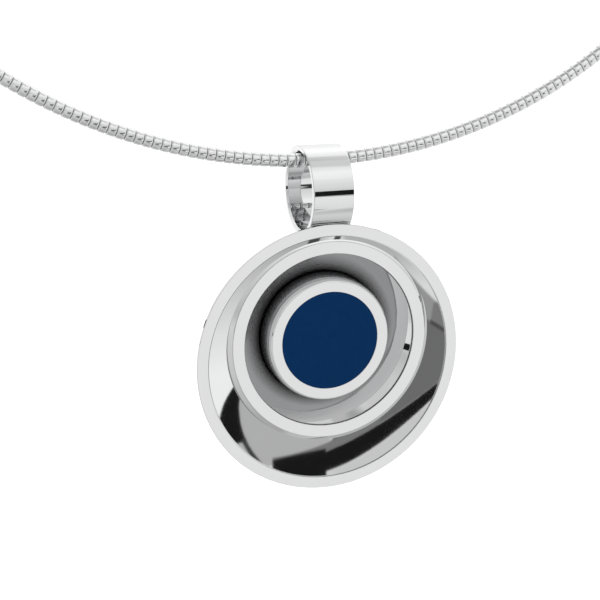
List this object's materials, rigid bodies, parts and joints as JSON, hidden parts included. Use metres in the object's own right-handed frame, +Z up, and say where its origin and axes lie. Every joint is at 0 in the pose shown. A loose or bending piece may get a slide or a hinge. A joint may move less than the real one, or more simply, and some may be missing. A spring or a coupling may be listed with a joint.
{
  "type": "pendant necklace",
  "caption": "Round spring collar of steel sleeves with a lobster clasp, carrying an offset double-dish steel pendant with a navy enamel inlay on a wide ring bail.",
  "frame": {"origin": "nape point: on the collar's centre plane, under the middle of the clasp, where the wearer's nape or a display bust holds the necklace up", "axes": "+Z up, -Y the front that the pendant faces, +X the viewer's right; the pendant hangs at the bottom and the collar leans back 9.2 degrees towards +Y at its top"},
  "size_m": [0.1324, 0.0296, 0.1697],
  "materials": {
    "polished_steel": "mirror-polished stainless steel",
    "satin_steel": "satin stainless steel",
    "navy_enamel": "glossy flat cold enamel"
  },
  "bodies": {
    "collar": {"sleeve_row_01": "polished_steel", "sleeve_row_02": "polished_steel", "sleeve_row_03": "polished_steel", "sleeve_row_04": "polished_steel", "sleeve_row_05": "polished_steel", "sleeve_row_06": "polished_steel", "sleeve_row_07": "polished_steel", "sleeve_row_08": "polished_steel", "sleeve_row_09": "polished_steel", "sleeve_row_10": "polished_steel", "sleeve_row_11": "polished_steel", "sleeve_row_12": "polished_steel", "sleeve_row_13": "polished_steel", "sleeve_row_14": "polished_steel", "sleeve_row_15": "polished_steel", "sleeve_row_16": "polished_steel", "core_cable": "satin_steel", "end_cap_left": "polished_steel", "end_cap_right": "polished_steel"},
    "bail": {"bail": "polished_steel"},
    "pendant": {"dish": "polished_steel", "bowl": "polished_steel", "collet": "polished_steel", "enamel_inlay": "navy_enamel", "back_cover": "satin_steel"},
    "jump_ring": {"jump_ring": "polished_steel"},
    "end_ring": {"end_ring": "polished_steel"},
    "clasp": {"clasp_body": "polished_steel", "trigger_pin": "satin_steel", "trigger_spring": "satin_steel"},
    "trigger": {"clasp_trigger": "polished_steel"}
  },
  "joints": [
    {"name": "pendant_slide", "type": "hinge", "parent": "collar", "child": "bail", "pos_m": [0, -0.01026, -0.06337], "axis": [0, 0.9871, -0.1599], "range_deg": [-160, 160]},
    {"name": "pendant_swing", "type": "hinge", "parent": "bail", "child": "pendant", "pos_m": [0, -0.02072, -0.13146], "axis": [1, 0, 0], "continuous": true},
    {"name": "jump_ring_roll", "type": "hinge", "parent": "collar", "child": "jump_ring", "pos_m": [-0.00617, 0.0001, 0.00064], "axis": [1, 0, 0], "range_deg": [-20, 20]},
    {"name": "end_ring_roll", "type": "hinge", "parent": "collar", "child": "end_ring", "pos_m": [0.00598, 0.0001, 0.00064], "axis": [1, 0, 0], "range_deg": [-20, 20]},
    {"name": "clasp_roll", "type": "hinge", "parent": "collar", "child": "clasp", "pos_m": [0, 0.0001, 0.00064], "axis": [1, 0, 0], "range_deg": [-12, 12]},
    {"name": "trigger_pull", "type": "hinge", "parent": "clasp", "child": "trigger", "pos_m": [-0.00082, 0.00149, 0.00042], "axis": [0, -0.1599, -0.9871], "range_deg": [0, 28], "stiffness_Nm_per_rad": 0.001, "springref_deg": -17.19}
  ]
}
